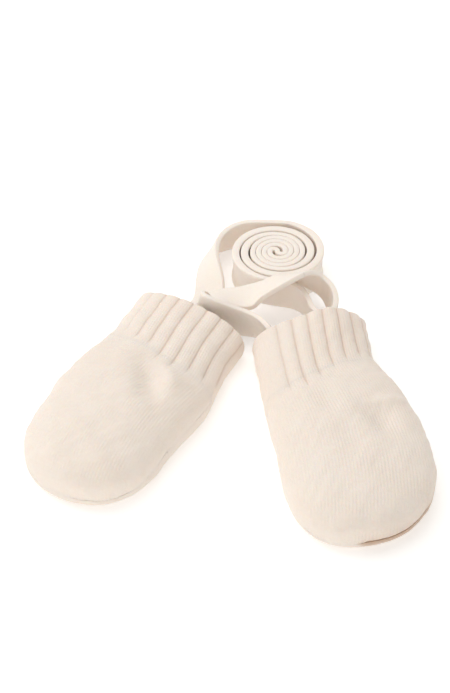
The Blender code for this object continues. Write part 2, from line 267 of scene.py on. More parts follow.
# %% [markdown]
# ## Plain knit as relief
# Plain knit looks like columns of small Vs. A real loop of yarn for each stitch
# would take millions of faces, so the stitches are a height added to the form:
# two strands to a column, a groove between them, and a ripple up each strand.
# The wool has been washed and brushed, so the stitches are soft and low. Three
# columns make a rib. The one between two ribs sinks in and hides in the groove.

# %% Stitches and ribs
STITCH_TALL = 1.65
STITCHES_PER_RIB = 3
STRAND_RELIEF = 0.085
RIPPLE_RELIEF = 0.065
RIPPLE_SLANT = 1.1
RIB_COUNT = 18
GROOVE_DEPTH = 0.95
GROOVE_NARROW = 0.50
GROOVE_WIDE = 2.1
GROOVE_NARROW_SHARE = 0.45
GROOVE_FADE_LENGTH = 4.0
RIB_FLOOR_FADE = 3.5
PLAIN_GROOVE_END = 36.5
PLAIN_GROOVE_SPREAD = 3.0
PLAIN_GROOVE_RHYTHM = 2.3
LUMP_SIZE = 17.0
LUMP_HEIGHT = 0.22
PUCKER_SIZE = 6.0
PUCKER_HEIGHT = 0.06
LUMP_SEED = 11
PUCKER_SEED = 23
FELT_SIZE = 9.0
FELT_SEED = 5
FELTED_SHARE = 0.35
WAVES = 7
WAVE_SPREAD = (0.7, 1.5)
print("each stitch is", STITCH_TALL, "mm tall, and the grooves", GROOVE_DEPTH, "mm deep")

# %% Heights of stitches and grooves
def smooth_step(low, high, value):
    t = np.clip((value - low) / (high - low), 0.0, 1.0)
    return t * t * (3.0 - 2.0 * t)


def soft_noise(points, size, seed):
    """Slow unevenness through space, from a few waves in seeded directions."""
    random = np.random.default_rng(seed)
    total = np.zeros(points.shape[:-1])
    for _ in range(WAVES):
        direction = random.normal(size=3)
        scale = random.uniform(*WAVE_SPREAD) * 2.0 * math.pi / size / np.linalg.norm(direction)
        total += np.sin(points @ direction * scale + random.uniform(0.0, 2.0 * math.pi))
    return total / math.sqrt(WAVES)


def stitch_height(column, row):
    """Height of plain knit, where a column and a row are each one stitch."""
    from_middle = np.abs(column - np.floor(column) - 0.5)
    strand = 0.5 - 0.5 * np.cos(4.0 * math.pi * column)
    ripple = 0.5 + 0.5 * np.cos(2.0 * math.pi * (row + RIPPLE_SLANT * from_middle))
    return strand * (STRAND_RELIEF + RIPPLE_RELIEF * ripple)


def groove_height(mitten, ribs, pitch, station):
    """Depth of the grooves between the ribs, which fade out along the hand.
    Ribs counts rib widths across the mitten, and is whole in the grooves."""
    nearest = np.round(ribs).astype(int)
    index = np.mod(nearest + RIB_COUNT // 2, RIB_COUNT) - RIB_COUNT // 2
    table = np.array(mitten["grooves"])
    place = index + len(table) // 2
    listed = table[np.clip(place, 0, len(table) - 1)]
    inside = (place >= 0) & (place < len(table))
    plain_end = PLAIN_GROOVE_END + PLAIN_GROOVE_SPREAD * np.sin(index * PLAIN_GROOVE_RHYTHM)
    end = np.where(inside, listed[..., 0], plain_end)
    depth = np.where(inside, listed[..., 1], 1.0) * GROOVE_DEPTH
    away = np.abs(ribs - nearest) * pitch
    narrow = np.exp(-(away / GROOVE_NARROW) ** 2)
    wide = np.exp(-(away / GROOVE_WIDE) ** 2)
    there = 1.0 - smooth_step(end - GROOVE_FADE_LENGTH, end + GROOVE_FADE_LENGTH, station)
    return -depth * (GROOVE_NARROW_SHARE * narrow + (1.0 - GROOVE_NARROW_SHARE) * wide) * there


def cloth_relief(points, ribs, along):
    """What stands up from the smooth form everywhere: the stitches, felted
    over in places, and the lumps and puckers of soft cloth."""
    stitches = stitch_height(ribs * STITCHES_PER_RIB, along / STITCH_TALL)
    clear = smooth_step(-1.0, 1.0, soft_noise(points, FELT_SIZE, FELT_SEED))
    stitches = stitches * (FELTED_SHARE + (1.0 - FELTED_SHARE) * clear)
    lumps = LUMP_HEIGHT * soft_noise(points, LUMP_SIZE, LUMP_SEED)
    return stitches + lumps + PUCKER_HEIGHT * soft_noise(points, PUCKER_SIZE, PUCKER_SEED)


print("a stitch stands up to", round(STRAND_RELIEF + RIPPLE_RELIEF, 3), "mm high")

# %% [markdown]
# ## Turning a flat grid into knitted cloth
# Every piece starts as a flat grid, as cloth does. Its points are moved onto the
# form, and then out along the surface by the height of the stitches. A second,
# coarser grid makes the inside, and bridging the two borders closes the edge.
# A Solidify modifier would give a wall too, but with stitches on both sides and
# twice the faces, and nobody sees the inside of a mitten closely.

# %% Helpers for grids and pieces
SHARP_ANGLE = 62.0
NO_LENGTH = 1e-9


def surface_normals(points):
    """Unit normals of a grid of points, from its neighbours on both sides."""
    normal = np.cross(np.gradient(points, axis=0), np.gradient(points, axis=1))
    length = np.linalg.norm(normal, axis=-1, keepdims=True)
    return normal / np.maximum(length, NO_LENGTH)


def grid_cloth(mesh, places, marks):
    """Add a grid to the mesh and move its points to the places. Marks holds the
    stitch column, the stitch row and the height of each point, the depth of its
    grooves and seam, which the wool turns into painted shade."""
    rows, columns = places.shape[:2]
    made = bmesh.ops.create_grid(mesh, x_segments=columns - 1, y_segments=rows - 1, size=0.5)
    corners = made["verts"]
    height = mesh.verts.layers.float["height"]
    across = mesh.verts.layers.float["across"]
    along = mesh.verts.layers.float["along"]
    flat = np.array([corner.co[:2] for corner in corners])
    j = np.rint((flat[:, 0] + 0.5) * (columns - 1)).astype(int)
    i = np.rint((flat[:, 1] + 0.5) * (rows - 1)).astype(int)
    moved = (places * MM)[i, j].tolist()
    marked = marks[i, j].tolist()
    for corner, place, mark in zip(corners, moved, marked):
        corner.co = place
        corner[across], corner[along], corner[height] = mark


def new_cloth_mesh():
    mesh = bmesh.new()
    for name in ("across", "along", "height"):
        mesh.verts.layers.float.new(name)
    return mesh


def finish_piece(name, mesh, material):
    """Turn the mesh into one object, smooth but for its edges."""
    open_edges = sum(not edge.is_manifold for edge in mesh.edges)
    data = bpy.data.meshes.new(name)
    mesh.to_mesh(data)
    mesh.free()
    data.shade_smooth()
    data.set_sharp_from_angle(angle=math.radians(SHARP_ANGLE))
    data.materials.append(material)
    piece = bpy.data.objects.new(name, data)
    bpy.context.scene.collection.objects.link(piece)
    triangles = sum(len(face.vertices) - 2 for face in data.polygons)
    print(name, "has", triangles, "triangles and", open_edges, "open edges")
    return piece


def bridge_borders(mesh):
    """Join the open borders of the outside and the inside with a rim."""
    borders = [edge for edge in mesh.edges if edge.is_boundary]
    bmesh.ops.bridge_loops(mesh, edges=borders)
    bmesh.ops.recalc_face_normals(mesh, faces=mesh.faces)


def sheet_area(points):
    """Area of a grid of points, in square metres."""
    a = points[1:, :-1] - points[:-1, :-1]
    b = points[:-1, 1:] - points[:-1, :-1]
    return float(np.linalg.norm(np.cross(a, b), axis=-1).sum()) * MM * MM


# %% [markdown]
# ## Wool
# The wool is cream, matt and a little fluffy. Three things make it look soft: a
# sheen, for the fine hairs that catch light at the rim of every form, painted
# shade, a darker and warmer colour in the grooves and faintly between the
# strands, and a bump of twisted yarn and loose fibres.
# A little light also passes under the surface, as it does in thick wool. A
# single noise would look like plaster, so the yarn follows the stitches, by two
# numbers that each point carries: its stitch column and its stitch row.

# %% Shader maths
class Maths:
    """A shader value that can be added, multiplied and so on, as a number is."""

    def __init__(self, tree, socket):
        self.tree = tree
        self.socket = socket

    def join(self, operation, first, second):
        return maths_node(self.tree, operation, first, second)

    def __add__(self, other):
        return self.join("ADD", self, other)

    def __radd__(self, other):
        return self.join("ADD", other, self)

    def __sub__(self, other):
        return self.join("SUBTRACT", self, other)

    def __rsub__(self, other):
        return self.join("SUBTRACT", other, self)

    def __mul__(self, other):
        return self.join("MULTIPLY", self, other)

    def __rmul__(self, other):
        return self.join("MULTIPLY", other, self)

    def fraction(self):
        return self.join("FRACT", self, 0.0)

    def size(self):
        return self.join("ABSOLUTE", self, 0.0)

    def wave(self):
        """A wave from 0 to 1, with its top at each whole number."""
        return self.join("COSINE", self * (2.0 * math.pi), 0.0) * 0.5 + 0.5

    def ramp(self, low, high):
        """0 below the low value, 1 above the high one, and smooth between."""
        node = add_node(self.tree, "ShaderNodeMapRange", {"interpolation_type": "SMOOTHSTEP"}, {
            "Value": self, "From Min": low, "From Max": high,
        })
        return Maths(self.tree, node.outputs[0])


def add_node(tree, kind, settings=None, sockets=None):
    """One node, with its settings first and then its values or links."""
    node = tree.nodes.new(kind)
    for name, value in (settings or {}).items():
        setattr(node, name, value)
    for name, value in (sockets or {}).items():
        if isinstance(value, Maths):
            tree.links.new(value.socket, node.inputs[name])
        elif isinstance(value, bpy.types.NodeSocket):
            tree.links.new(value, node.inputs[name])
        else:
            node.inputs[name].default_value = value
    return node


def maths_node(tree, operation, first, second):
    node = add_node(tree, "ShaderNodeMath", {"operation": operation}, {0: first, 1: second})
    return Maths(tree, node.outputs[0])


def mix_colours(tree, factor, first, second):
    sockets = {"Factor": factor, 6: first, 7: second}
    node = add_node(tree, "ShaderNodeMix", {"data_type": "RGBA"}, sockets)
    return node.outputs[2]


# %% Wool material
WOOL_LIGHT = (0.925, 0.820, 0.737, 1.0)
WOOL_WARM = (0.897, 0.777, 0.677, 1.0)
# Painted shade: the colour that the grooves and the gaping seam darken towards
PAINTED_SHADE_COLOUR = (0.58, 0.41, 0.30, 1.0)
BAND_LIGHT = (0.990, 0.892, 0.817, 1.0)
BAND_WARM = (0.985, 0.867, 0.770, 1.0)
# Painted shade grows from none at the top depth to full at the bottom one, up to this share
GROOVE_TOP = 0.0
GROOVE_BOTTOM = -2.2
PAINTED_SHADE_SHARE = 0.95
CLOUD_SCALE = 42.0
CLOUD_DETAIL = 3.0
FLUFF_SCALE = 800.0
FLUFF_DETAIL = 2.0
FIBRE_SCALE = 2600.0
FIBRE_DETAIL = 3.0
# How clearly the stitches show, and how worn the wool is, by slow clouds
CLEAR_CLOUDS = (0.35, 0.65)
LEAST_CLEAR = 0.4
WORN_RANGE = (0.38, 0.62)
WORN_TINT = 0.45
RIPPLE_SHARE = 0.4
FIBRE_BUMP = 0.06
FLUFF_BUMP = 0.16
STITCH_BUMP = 0.05
# Faint painted shade between the two strands of each stitch
STRAND_PAINTED_SHADE = 0.06
TWIST_BUMP = 0.03
TWISTS_PER_STITCH = 3.0
LEAST_ROUGHNESS = 0.87
ROUGHNESS_SPREAD = 0.1
WOOL_SHEEN = 0.35
SHEEN_ROUGHNESS = 0.45
SHEEN_TINT = (1.0, 0.97, 0.93, 1.0)
WOOL_SHINE = 0.12
GLOW_REACH = (1.0, 0.6, 0.35)
GLOW_SCALE = 0.0035
GLOW_SHARE = 0.2
BAND_STITCH_SHARE = 0.7


def wool_material(name, light, warm, stitch_share):
    material = bpy.data.materials.new(name)
    material.use_nodes = True
    tree = material.node_tree
    shader = tree.nodes["Principled BSDF"]
    place = add_node(tree, "ShaderNodeTexCoord").outputs["Object"]

    def carried(attribute):
        node = add_node(tree, "ShaderNodeAttribute", {"attribute_name": attribute})
        return Maths(tree, node.outputs["Fac"])

    def noise(scale, detail):
        sockets = {"Vector": place, "Scale": scale, "Detail": detail}
        node = add_node(tree, "ShaderNodeTexNoise", {}, sockets)
        return Maths(tree, node.outputs["Fac"])

    clouds = noise(CLOUD_SCALE, CLOUD_DETAIL)
    fluff = noise(FLUFF_SCALE, FLUFF_DETAIL)
    fibres = noise(FIBRE_SCALE, FIBRE_DETAIL)
    column = carried("across")
    row = carried("along")
    strand = 1.0 - (column * 2.0).wave()
    from_middle = (column.fraction() - 0.5).size()
    ripple = (row + from_middle * RIPPLE_SLANT).wave()
    stitch = strand * (ripple * RIPPLE_SHARE + (1.0 - RIPPLE_SHARE))
    clear = clouds.ramp(*CLEAR_CLOUDS) * (1.0 - LEAST_CLEAR) + LEAST_CLEAR
    twist = ((column * 2.0 + row) * TWISTS_PER_STITCH).wave()

    # Painted shade: the colour darkens and warms where the height mark lies deep, in the grooves
    # and round the gaping seam
    deep = 1.0 - carried("height").ramp(GROOVE_BOTTOM, GROOVE_TOP)
    worn = (clouds * 0.5 + fluff * 0.5).ramp(*WORN_RANGE)
    # Random worn tone, and faint painted shade between the strands
    wear_and_strand_shade = worn * WORN_TINT + (1.0 - stitch) * clear * (STRAND_PAINTED_SHADE * stitch_share)
    body = mix_colours(tree, wear_and_strand_shade, light, warm)
    colour = mix_colours(tree, deep * PAINTED_SHADE_SHARE, body, PAINTED_SHADE_COLOUR)

    relief = stitch * clear * (STITCH_BUMP * stitch_share) + twist * TWIST_BUMP
    relief = relief + fluff * FLUFF_BUMP + fibres * FIBRE_BUMP
    bump = add_node(tree, "ShaderNodeBump", {}, {"Height": relief, "Distance": MM, "Strength": 1.0})
    rough = fluff * ROUGHNESS_SPREAD + LEAST_ROUGHNESS
    tree.links.new(colour, shader.inputs["Base Color"])
    tree.links.new(rough.socket, shader.inputs["Roughness"])
    tree.links.new(bump.outputs[0], shader.inputs["Normal"])
    shader.inputs["Sheen Weight"].default_value = WOOL_SHEEN
    shader.inputs["Sheen Roughness"].default_value = SHEEN_ROUGHNESS
    shader.inputs["Sheen Tint"].default_value = SHEEN_TINT
    shader.inputs["Specular IOR Level"].default_value = WOOL_SHINE
    shader.inputs["Subsurface Weight"].default_value = GLOW_SHARE
    shader.inputs["Subsurface Radius"].default_value = GLOW_REACH
    shader.inputs["Subsurface Scale"].default_value = GLOW_SCALE
    return material


PLAIN_WOOL = wool_material("plain_knit_wool", WOOL_LIGHT, WOOL_WARM, 1.0)
RIB_WOOL = wool_material("ribbed_knit_wool", WOOL_LIGHT, WOOL_WARM, 1.0)
BAND_WOOL = wool_material("band_wool", BAND_LIGHT, BAND_WARM, BAND_STITCH_SHARE)
print("wool materials:", PLAIN_WOOL.name, RIB_WOOL.name, BAND_WOOL.name)

# %% [markdown]
# ## The hand panels
# Each hand is two shaped panels. The columns of stitches run from the cuff and
# end where they meet the tip seam, as they do on cloth cut to shape. So the
# columns of the grid do the same, a fixed number to each stitch, and the points
# along them are evenly spaced by length. The seam dips a little under the tip
# and pulls in a narrow valley. On the right mitten it gapes along the tip in a
# deeper groove, and painted shade darkens the colour around it, as the shade of
# an open seam.

# %% Grid of a hand panel
# Columns of the grid to a rib, and rows of the grid
UPPER_DETAIL = (24, 345)
UNDER_DETAIL = (12, 150)
INSIDE_DETAIL = (4, 34)
COLUMN_SAMPLES = 521
END_CROWDING = 4
RING_SAMPLES = 721
SEAM_ROOM = 0.3
SEAM_DIP_FADE = 10
SEAM_VALLEY = 0.10
SEAM_VALLEY_WIDTH = 1.0
GAPE_WIDTH = 1.5
# Painted shade round the gaping seam: its share of the gape's depth, and its width
GAPE_SHADE = 0.8
GAPE_SHADE_WIDTH = 8.5
GAPE_FADE = 0.14
UNDER_RELIEF = 0.6
REST_FADE = (0.5, 3.0)
LOWEST = 0.02


def ring_turns(mitten, station, counts):
    """Angles round a section at rib counts from the crown, leftwards, with the
    width of a rib and the counts at the left and the right seam."""
    turn = math.pi / 2 + np.linspace(0.0, 2.0 * math.pi, RING_SAMPLES)
    ring = mitten_surface(mitten, np.full_like(turn, station), np.cos(turn), np.sin(turn) >= 0.0)
    steps = np.linalg.norm(np.diff(ring, axis=0), axis=-1)
    lengths = np.concatenate([[0.0], np.cumsum(steps)])
    pitch = lengths[-1] / RIB_COUNT
    seams = np.interp([math.pi, 2.0 * math.pi], turn, lengths) / pitch
    return np.interp(np.mod(counts, RIB_COUNT) * pitch, lengths, turn), pitch, seams


def rib_places(mitten, counts):
    """Rib widths rightwards from the middle groove, for counts leftwards."""
    return -counts - 0.5 - mitten["rib_shift"]


def panel_columns(mitten, upper, per_rib):
    """Columns from the left seam to the right one, a fixed number to a rib."""
    start = mitten["sections"][CUFF_END_ROW][0]
    _, pitch, (left, right) = ring_turns(mitten, start, np.zeros(1))
    low, high = (right - RIB_COUNT, left) if upper else (left, right)
    first = math.ceil(low * per_rib + SEAM_ROOM)
    last = math.floor(high * per_rib - SEAM_ROOM)
    inner = np.arange(first, last + 1) / per_rib
    counts = np.concatenate([[low], inner, [high]])
    counts = counts[::-1] if upper else counts
    turn, _, _ = ring_turns(mitten, start, counts)
    share = np.cos(turn)
    share[0] = -1.0
    share[-1] = 1.0
    return counts, share, pitch


def panel_grid(mitten, upper, detail, inset):
    """A grid of points on one hand panel, the length from the cuff to each, the
    length left to the tip seam, and the ribs across."""
    per_rib, rows = detail
    counts, share, pitch = panel_columns(mitten, upper, per_rib)
    start = mitten["sections"][CUFF_END_ROW][0]
    tip_start = mitten["sections"][-1][0]
    reach = mitten["tip_station"] - tip_start
    end = tip_start + reach * (1.0 - np.abs(share) ** TIP_SQUARENESS) ** (1.0 / TIP_SQUARENESS)

    def column_points(run):
        """Run goes from 0 at the cuff, over the upper side to 1, and back to 2."""
        far = 1.0 - np.abs(1.0 - run) ** END_CROWDING
        station = start + (end - start) * far
        return mitten_surface(mitten, station, np.broadcast_to(share, run.shape), run <= 1.0, inset)

    run = np.repeat(np.linspace(0.0, 2.0, COLUMN_SAMPLES)[:, None], len(share), axis=1)
    steps = np.linalg.norm(np.diff(column_points(run), axis=0), axis=-1)
    lengths = np.vstack([np.zeros(len(share)), np.cumsum(steps, axis=0)])
    seam = lengths[COLUMN_SAMPLES // 2] + mitten["seam_dip"] * (1.0 - share ** SEAM_DIP_FADE)
    full = seam if upper else lengths[-1] - seam
    along = np.linspace(0.0, 1.0, rows)[:, None] * full
    wanted = along if upper else lengths[-1] - along
    columns = range(len(share))
    run = np.stack([np.interp(wanted[:, j], lengths[:, j], run[:, j]) for j in columns], axis=1)
    ribs = np.broadcast_to(rib_places(mitten, counts), run.shape)
    return column_points(run), along, full - along, ribs, share, pitch


for one in (LEFT_MITTEN, RIGHT_MITTEN):
    across = panel_columns(one, True, UPPER_DETAIL[0])[0]
    print(one["name"], "upper panel has", len(across), "columns of points")

# %% Hand panels
def hand_panel(mitten, upper):
    detail = UPPER_DETAIL if upper else UNDER_DETAIL
    places, along, to_tip, ribs, share, pitch = panel_grid(mitten, upper, detail, 0.0)
    start = mitten["sections"][CUFF_END_ROW][0]
    out = surface_normals(places) * (1.0 if upper else -1.0)
    rise = cloth_relief(places, ribs, along)
    sunk = groove_height(mitten, ribs, pitch, start + along)
    steps = np.linalg.norm(np.diff(places, axis=1), axis=-1)
    across = np.hstack([np.zeros((len(places), 1)), np.cumsum(steps, axis=1)])
    to_seam = np.minimum(np.minimum(across, across[:, -1:] - across), to_tip)
    low, high, gape = mitten["gape"]
    open_share = smooth_step(low - GAPE_FADE, low + GAPE_FADE, share)
    open_share = open_share - smooth_step(high - GAPE_FADE, high + GAPE_FADE, share)
    sunk = sunk - SEAM_VALLEY * np.exp(-(to_seam / SEAM_VALLEY_WIDTH) ** 2)
    sunk = sunk - gape * open_share * np.exp(-(to_seam / GAPE_WIDTH) ** 2)
    # Painted shade: the height mark darkens the colour widely round the gaping seam, beyond its
    # real groove
    shade = sunk - GAPE_SHADE * gape * open_share * np.exp(-(to_seam / GAPE_SHADE_WIDTH) ** 2)
    resting = 1.0 if upper else smooth_step(*REST_FADE, places[..., 2]) * UNDER_RELIEF
    rise = (rise + sunk) * resting
    area = sheet_area(places)
    marks = np.stack([ribs * STITCHES_PER_RIB, along / STITCH_TALL, shade], axis=-1)
    places = places + out * rise[..., None]
    places[..., 2] = np.maximum(places[..., 2], LOWEST)

    mesh = new_cloth_mesh()
    grid_cloth(mesh, set_down(mitten, places), marks)
    inner, inner_along, _, inner_ribs, _, _ = panel_grid(mitten, upper, INSIDE_DETAIL, HAND_WALL)
    inner_marks = np.stack([
        inner_ribs * STITCHES_PER_RIB, inner_along / STITCH_TALL, np.zeros_like(inner_along),
    ], axis=-1)
    grid_cloth(mesh, set_down(mitten, inner), inner_marks)
    bridge_borders(mesh)
    name = mitten["name"] + ("_hand_upper" if upper else "_hand_under")
    piece = finish_piece(name + "_knit", mesh, PLAIN_WOOL)
    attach(piece, "root")
    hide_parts(name)


for one in (LEFT_MITTEN, RIGHT_MITTEN):
    hand_panel(one, True)
    hand_panel(one, False)

# %% [markdown]
# ## The cuffs
# A cuff is a ribbed tube: three columns of stitches stand out and one sinks in,
# again and again, which makes it stretchy. The grid wraps round the tube, over
# the rounded rim at the open end, and back along the plain inside. Its columns
# are those of the hand, so the ribs run on over the seam to the panels, which
# hardly shows.

# %% Cuffs
CUFF_ROWS = 104
RIM_ROWS = 10
INSIDE_ROWS = 12
INSIDE_STITCH = 0.3
CUFF_WELD = 1e-6


def cuff_profile(end):
    """Distance along and depth into the wall, from the hand round the rim."""
    rim = CUFF_WALL / 2
    outside = [(station, 0.0) for station in np.linspace(end, rim, CUFF_ROWS)]
    turn = np.linspace(0.0, math.pi, RIM_ROWS + 1)[1:-1]
    edge = [(rim - rim * math.sin(a), rim - rim * math.cos(a)) for a in turn]
    inside = [(station, CUFF_WALL) for station in np.linspace(rim, end, INSIDE_ROWS)]
    return outside + edge + inside


def cuff(mitten):
    end = mitten["sections"][CUFF_END_ROW][0]
    per_rib = UPPER_DETAIL[0]
    counts = np.arange(RIB_COUNT * per_rib + 1) / per_rib - RIB_COUNT / 2
    stations, insets = np.array(cuff_profile(end)).T
    rings = [ring_turns(mitten, station, counts) for station in stations]
    turns = np.array([ring[0] for ring in rings])
    pitch = np.array([ring[1] for ring in rings])[:, None]
    upper = np.sin(turns) >= 0.0
    at = np.broadcast_to(stations[:, None], turns.shape)
    outer = mitten_surface(mitten, at, np.cos(turns), upper)
    wall = mitten_surface(mitten, at, np.cos(turns), upper, CUFF_WALL) - outer
    out = -wall / np.linalg.norm(wall, axis=-1, keepdims=True)
    closed = np.concatenate([outer[:, -2:-1], outer, outer[:, 1:2]], axis=1)
    out[:CUFF_ROWS] = surface_normals(closed[:CUFF_ROWS])[:, 1:-1]

    ribs = np.broadcast_to(rib_places(mitten, counts), turns.shape)
    along = at - end
    outside = 1.0 - insets[:, None] / CUFF_WALL
    strength = np.minimum(1.0, outer[..., 2] / RIB_FLOOR_FADE) * outside
    stitches = stitch_height(ribs * STITCHES_PER_RIB, at / STITCH_TALL) * INSIDE_STITCH
    sunk = groove_height(mitten, ribs, pitch, at) * strength
    rise = cloth_relief(outer, ribs, along) * strength + sunk + stitches * (1.0 - outside)
    places = outer + wall * (insets[:, None, None] / CUFF_WALL) + out * rise[..., None]
    places[..., 2] = np.maximum(places[..., 2], LOWEST)
    # The groove depth goes into the height mark, which the wool paints as shade
    marks = np.stack([ribs * STITCHES_PER_RIB, along / STITCH_TALL, sunk], axis=-1)
    area = sheet_area(outer[:CUFF_ROWS])
    mesh = new_cloth_mesh()
    grid_cloth(mesh, set_down(mitten, places), marks)
    bmesh.ops.remove_doubles(mesh, verts=mesh.verts, dist=CUFF_WELD)
    bridge_borders(mesh)
    name = mitten["name"] + "_cuff"
    piece = finish_piece(name + "_knit", mesh, RIB_WOOL)
    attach(piece, "root")
    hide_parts(name)
    area / (end * MM)
    end * MM
    print(name, "is", round(area / (end * MM) / MM), "mm round and", end, "mm long")


for one in (LEFT_MITTEN, RIGHT_MITTEN):
    cuff(one)

# %% [markdown]
# ## The strap
# The strap is one flat knitted band with soft edges. Its middle is folded in two
# and rolled up on edge, and its ends run down to the cuffs, one of them over a
# high arch and back. A curve with a bevel can't follow a band that twists, so
# its section is swept here: each place on the route has a lean, from standing
# on edge to lying flat.

# %% Strap routes, in millimetres
STRAP_WIDTH = 15.5
STRAP_THICKNESS = 2.4
STRAP_LIFT = 0.1
COIL_CENTRE = (25.3, 51.5)
COIL_LAYER = 2.75
COIL_HEART = 1.9

# Columns: x, y, height of the lower edge, lean towards the right in degrees
LEFT_RUN = (
    (14.0, 74.7, 0.1, 0.0),
    (7.4, 73.8, 0.1, -3.0),
    (0.5, 70.2, 0.1, -12.0),
    (-4.9, 64.8, 0.1, -23.0),
    (-7.5, 58.5, 0.1, -30.0),
    (-8.2, 52.0, 0.1, -35.0),
    (-7.8, 44.0, 0.1, -46.0),
    (-7.2, 36.5, 0.1, -58.0),
    (-8.0, 29.0, 0.3, -69.0),
    (-11.2, 21.0, 1.6, -80.0),
    (-15.2, 13.0, 3.4, -90.0),
    (-19.0, 4.0, 3.4, -90.0),
    (-23.0, -5.0, 3.4, -90.0),
)
RIGHT_RUN = (
    (26.5, 29.3, 0.1, 0.0),
    (33.0, 27.2, 0.1, 3.0),
    (37.4, 22.6, 0.1, 5.0),
    (39.6, 16.0, 0.1, 5.0),
    (41.2, 9.5, 0.1, 3.0),
    (45.8, 5.4, 0.4, 5.0),
    (50.0, 9.5, 1.0, 8.0),
    (50.6, 17.0, 2.2, 8.0),
    (49.4, 23.6, 3.7, 0.0),
    (45.8, 28.6, 5.4, -14.0),
    (40.6, 29.8, 8.4, -28.0),
    (34.8, 27.4, 14.4, -48.0),
    (28.4, 22.9, 17.4, -61.0),
    (21.3, 20.6, 16.0, -73.0),
    (13.5, 20.8, 11.9, -89.0),
    (8.5, 19.6, 11.4, -91.0),
    (3.0, 20.4, 10.0, -79.0),
    (-3.0, 20.2, 9.0, -69.0),
    (-9.0, 19.0, 6.9, -60.0),
    (-12.8, 15.6, 6.6, -48.0),
    (-12.8, 11.4, 6.8, -26.0),
    (-8.6, 8.6, 6.9, -6.0),
    (-2.0, 8.4, 3.7, 0.0),
    (4.5, 8.4, 0.9, 0.0),
    (10.0, 7.6, 0.1, 3.0),
    (15.8, 5.2, 0.1, 12.0),
    (21.6, 1.6, 1.2, 32.0),
    (27.2, -3.6, 3.5, 60.0),
    (30.0, -11.0, 3.4, 84.0),
    (31.0, -19.0, 3.4, 90.0),
)
ARCH_SHARE = 0.42
# Columns: quarter turns after the tight inner ones, radius in the run to the
# left cuff, radius in the run to the right one
LOOSE_TURNS = (
    (0.0, 13.3, 13.3),
    (1.0, 15.9, 15.9),
    (2.0, 17.4, 17.4),
    (3.0, 20.6, 20.2),
    (4.0, 23.4, 21.3),
)
TIGHT_START = 180.0
TIGHT_END = 810.0
LEFT_RUN_LEAVES = 1155.0
RIGHT_RUN_LEAVES = 1152.0
COIL_STEP = 4.5
HEART_STEPS = 18
RUN_IN_POINTS = 3
RUN_IN_STEP = 18.0
CURVE_STEPS = 24
PIECE_GAP = 0.01
CUT_STEP = 0.5
LEAST_CUTS = 8
SOFTEN_STEP = 0.5
SOFTEN_LENGTH = 2.6
SOFTEN_FROM = 1.0
SOFTEN_FULL = 12.0
SOFTEN_REACH = 3.0
print("places on the strap's runs:", len(LEFT_RUN), "and", len(RIGHT_RUN))

# %% Routes on smooth curves
def smooth_route(rows):
    """Places close together along a strap run, on one smooth curve."""
    rows = np.array(rows, float)
    rows = np.vstack([2 * rows[0] - rows[1], rows, 2 * rows[-1] - rows[-2]])
    fine = []
    for a, b, c, d in zip(rows, rows[1:], rows[2:], rows[3:]):
        for i in range(CURVE_STEPS):
            t = i / CURVE_STEPS
            ease = (2 * a - 5 * b + 4 * c - d) * t * t + (3 * b - a - 3 * c + d) * t ** 3
            fine.append((2 * b + (c - a) * t + ease) / 2)
    fine.append(rows[-2])
    return np.array(fine)


def lengths_of(route, columns):
    steps = np.linalg.norm(np.diff(route[:, :columns], axis=0), axis=1)
    return np.concatenate([[0.0], np.cumsum(steps)])


def coil_arm(arm, leaves, flip, step):
    """Half of the rolled strap, from the fold at its heart outwards."""
    heart = np.radians(np.arange(HEART_STEPS) * TIGHT_START / HEART_STEPS)
    points = [COIL_HEART * np.stack([np.cos(heart) - 1.0, np.sin(heart)], axis=1)]
    turned = np.linspace(TIGHT_START, leaves, round((leaves - TIGHT_START) / step) + 1)
    tight = LOOSE_TURNS[0][1] + (turned - TIGHT_END) / 90.0 * COIL_LAYER / 2
    loose = curve_value(LOOSE_TURNS, arm, (turned - TIGHT_END) / 90.0)
    radius = np.where(turned <= TIGHT_END, tight, loose)
    angle = np.radians(turned)
    points.append(radius[:, None] * np.stack([np.cos(angle), np.sin(angle)], axis=1))
    points = np.vstack(points) * (-1.0 if flip else 1.0) + np.array(COIL_CENTRE)
    flat = np.zeros((len(points), 2))
    flat[:, 0] = STRAP_LIFT
    return np.hstack([points, flat])


def run_route(arm, leaves, flip, rows):
    """A run on one smooth curve with the end of the roll, from where it leaves."""
    roll = coil_arm(arm, leaves, flip, RUN_IN_STEP)[-RUN_IN_POINTS:]
    fine = smooth_route(list(roll) + [np.array(row) for row in rows])
    return fine[(RUN_IN_POINTS - 1) * CURVE_STEPS:]


def cut_route(route, start, end):
    """Part of a route between two lengths along it."""
    lengths = lengths_of(route, 2)
    end = lengths[-1] if end is None else end
    wanted = np.linspace(start, end, max(LEAST_CUTS, round((end - start) / CUT_STEP)))
    return np.stack([np.interp(wanted, lengths, route[:, c]) for c in range(4)], axis=1)


def soften(route):
    """Ease the bends of a run, but not where it leaves the roll."""
    lengths = lengths_of(route, 2)
    total = lengths[-1]
    wanted = np.linspace(0.0, total, round(total / SOFTEN_STEP) + 1)
    even = np.stack([np.interp(wanted, lengths, route[:, c]) for c in range(4)], axis=1)
    reach = round(SOFTEN_REACH * SOFTEN_LENGTH / SOFTEN_STEP)
    weights = np.exp(-0.5 * (np.arange(-reach, reach + 1) * SOFTEN_STEP / SOFTEN_LENGTH) ** 2)
    weights = weights / weights.sum()
    before = 2.0 * even[0] - even[reach:0:-1]
    after = 2.0 * even[-1] - even[-2:-reach - 2:-1]
    padded = np.vstack([before, even, after])
    eased = np.stack([np.convolve(padded[:, c], weights, "valid") for c in range(4)], axis=1)
    share = smooth_step(SOFTEN_FROM, SOFTEN_FULL, wanted)[:, None]
    return even + (eased - even) * share


